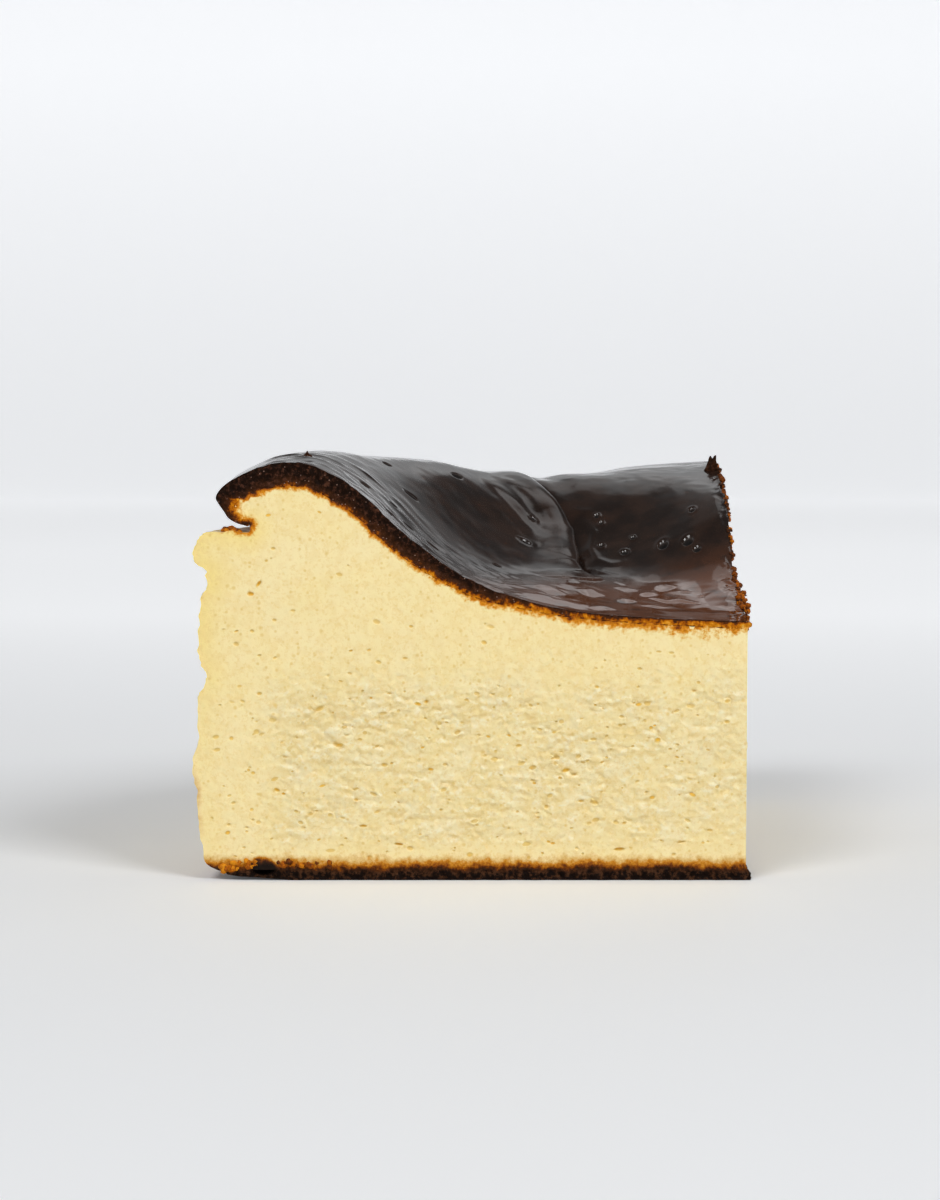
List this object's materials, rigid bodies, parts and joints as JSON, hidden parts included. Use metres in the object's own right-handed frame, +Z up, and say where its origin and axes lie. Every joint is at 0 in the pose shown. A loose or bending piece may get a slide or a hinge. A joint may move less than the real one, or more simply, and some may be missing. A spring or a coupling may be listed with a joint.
{
  "type": "basque burnt cheesecake slice",
  "caption": "Wedge of baked burnt-top cheesecake with a raised curled rim, a sunken creased middle, curdy cut sides and a pleated baked outside. Rests flat on its base.",
  "frame": {"origin": "centre of the slice's bounding box, on the surface it stands on", "axes": "+Z up, -Y the way the front cut faces, +X the way the second cut faces; the cake's own axis is the upright edge at the +X, -Y corner"},
  "size_m": [0.077, 0.0746, 0.0579],
  "materials": {
    "crumb": "set cream: pale yellow, moist and softly translucent, smooth above and torn into small curds below",
    "top_crust": "burnt top skin: very dark brown and wet-looking, with orange-brown below it",
    "base_crust": "browned base: dark brown and granular, dull"
  },
  "bodies": {
    "root": {"cheesecake_slice": "crumb"}
  },
  "joints": []
}
